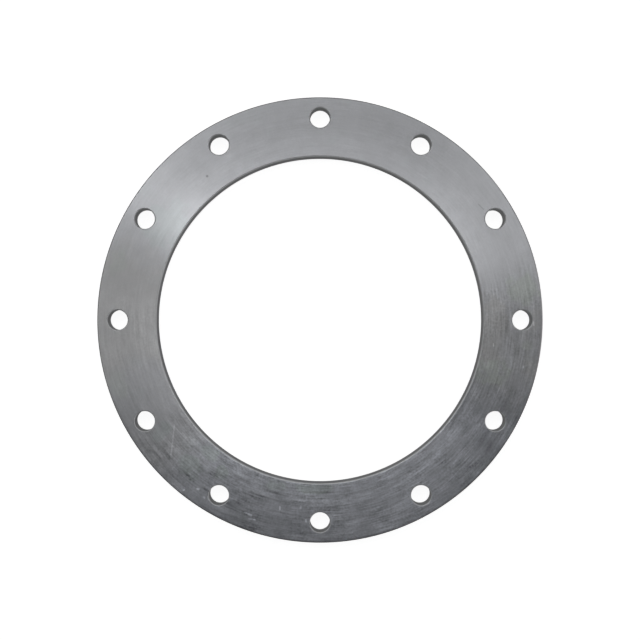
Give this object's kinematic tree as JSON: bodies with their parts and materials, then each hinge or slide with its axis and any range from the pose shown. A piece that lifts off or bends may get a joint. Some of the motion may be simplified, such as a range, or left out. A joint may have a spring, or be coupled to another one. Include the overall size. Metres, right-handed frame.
{
  "type": "plate flange",
  "caption": "Flat round plate flange for a large pipe: a wide open bore, one circle of plain bolt holes, turned faces and lightly broken edges.",
  "frame": {"origin": "centre of the ring at its back face", "axes": "+Z along the bore's axis, out of the front face; +X through the middle of one bolt hole"},
  "size_m": [0.4899, 0.49, 0.026],
  "materials": {
    "turned_steel": "turned on a lathe, with a fine grain that runs round the ring, light stains and handling scratches"
  },
  "bodies": {
    "root": {"flange_ring": "turned_steel"}
  },
  "joints": []
}
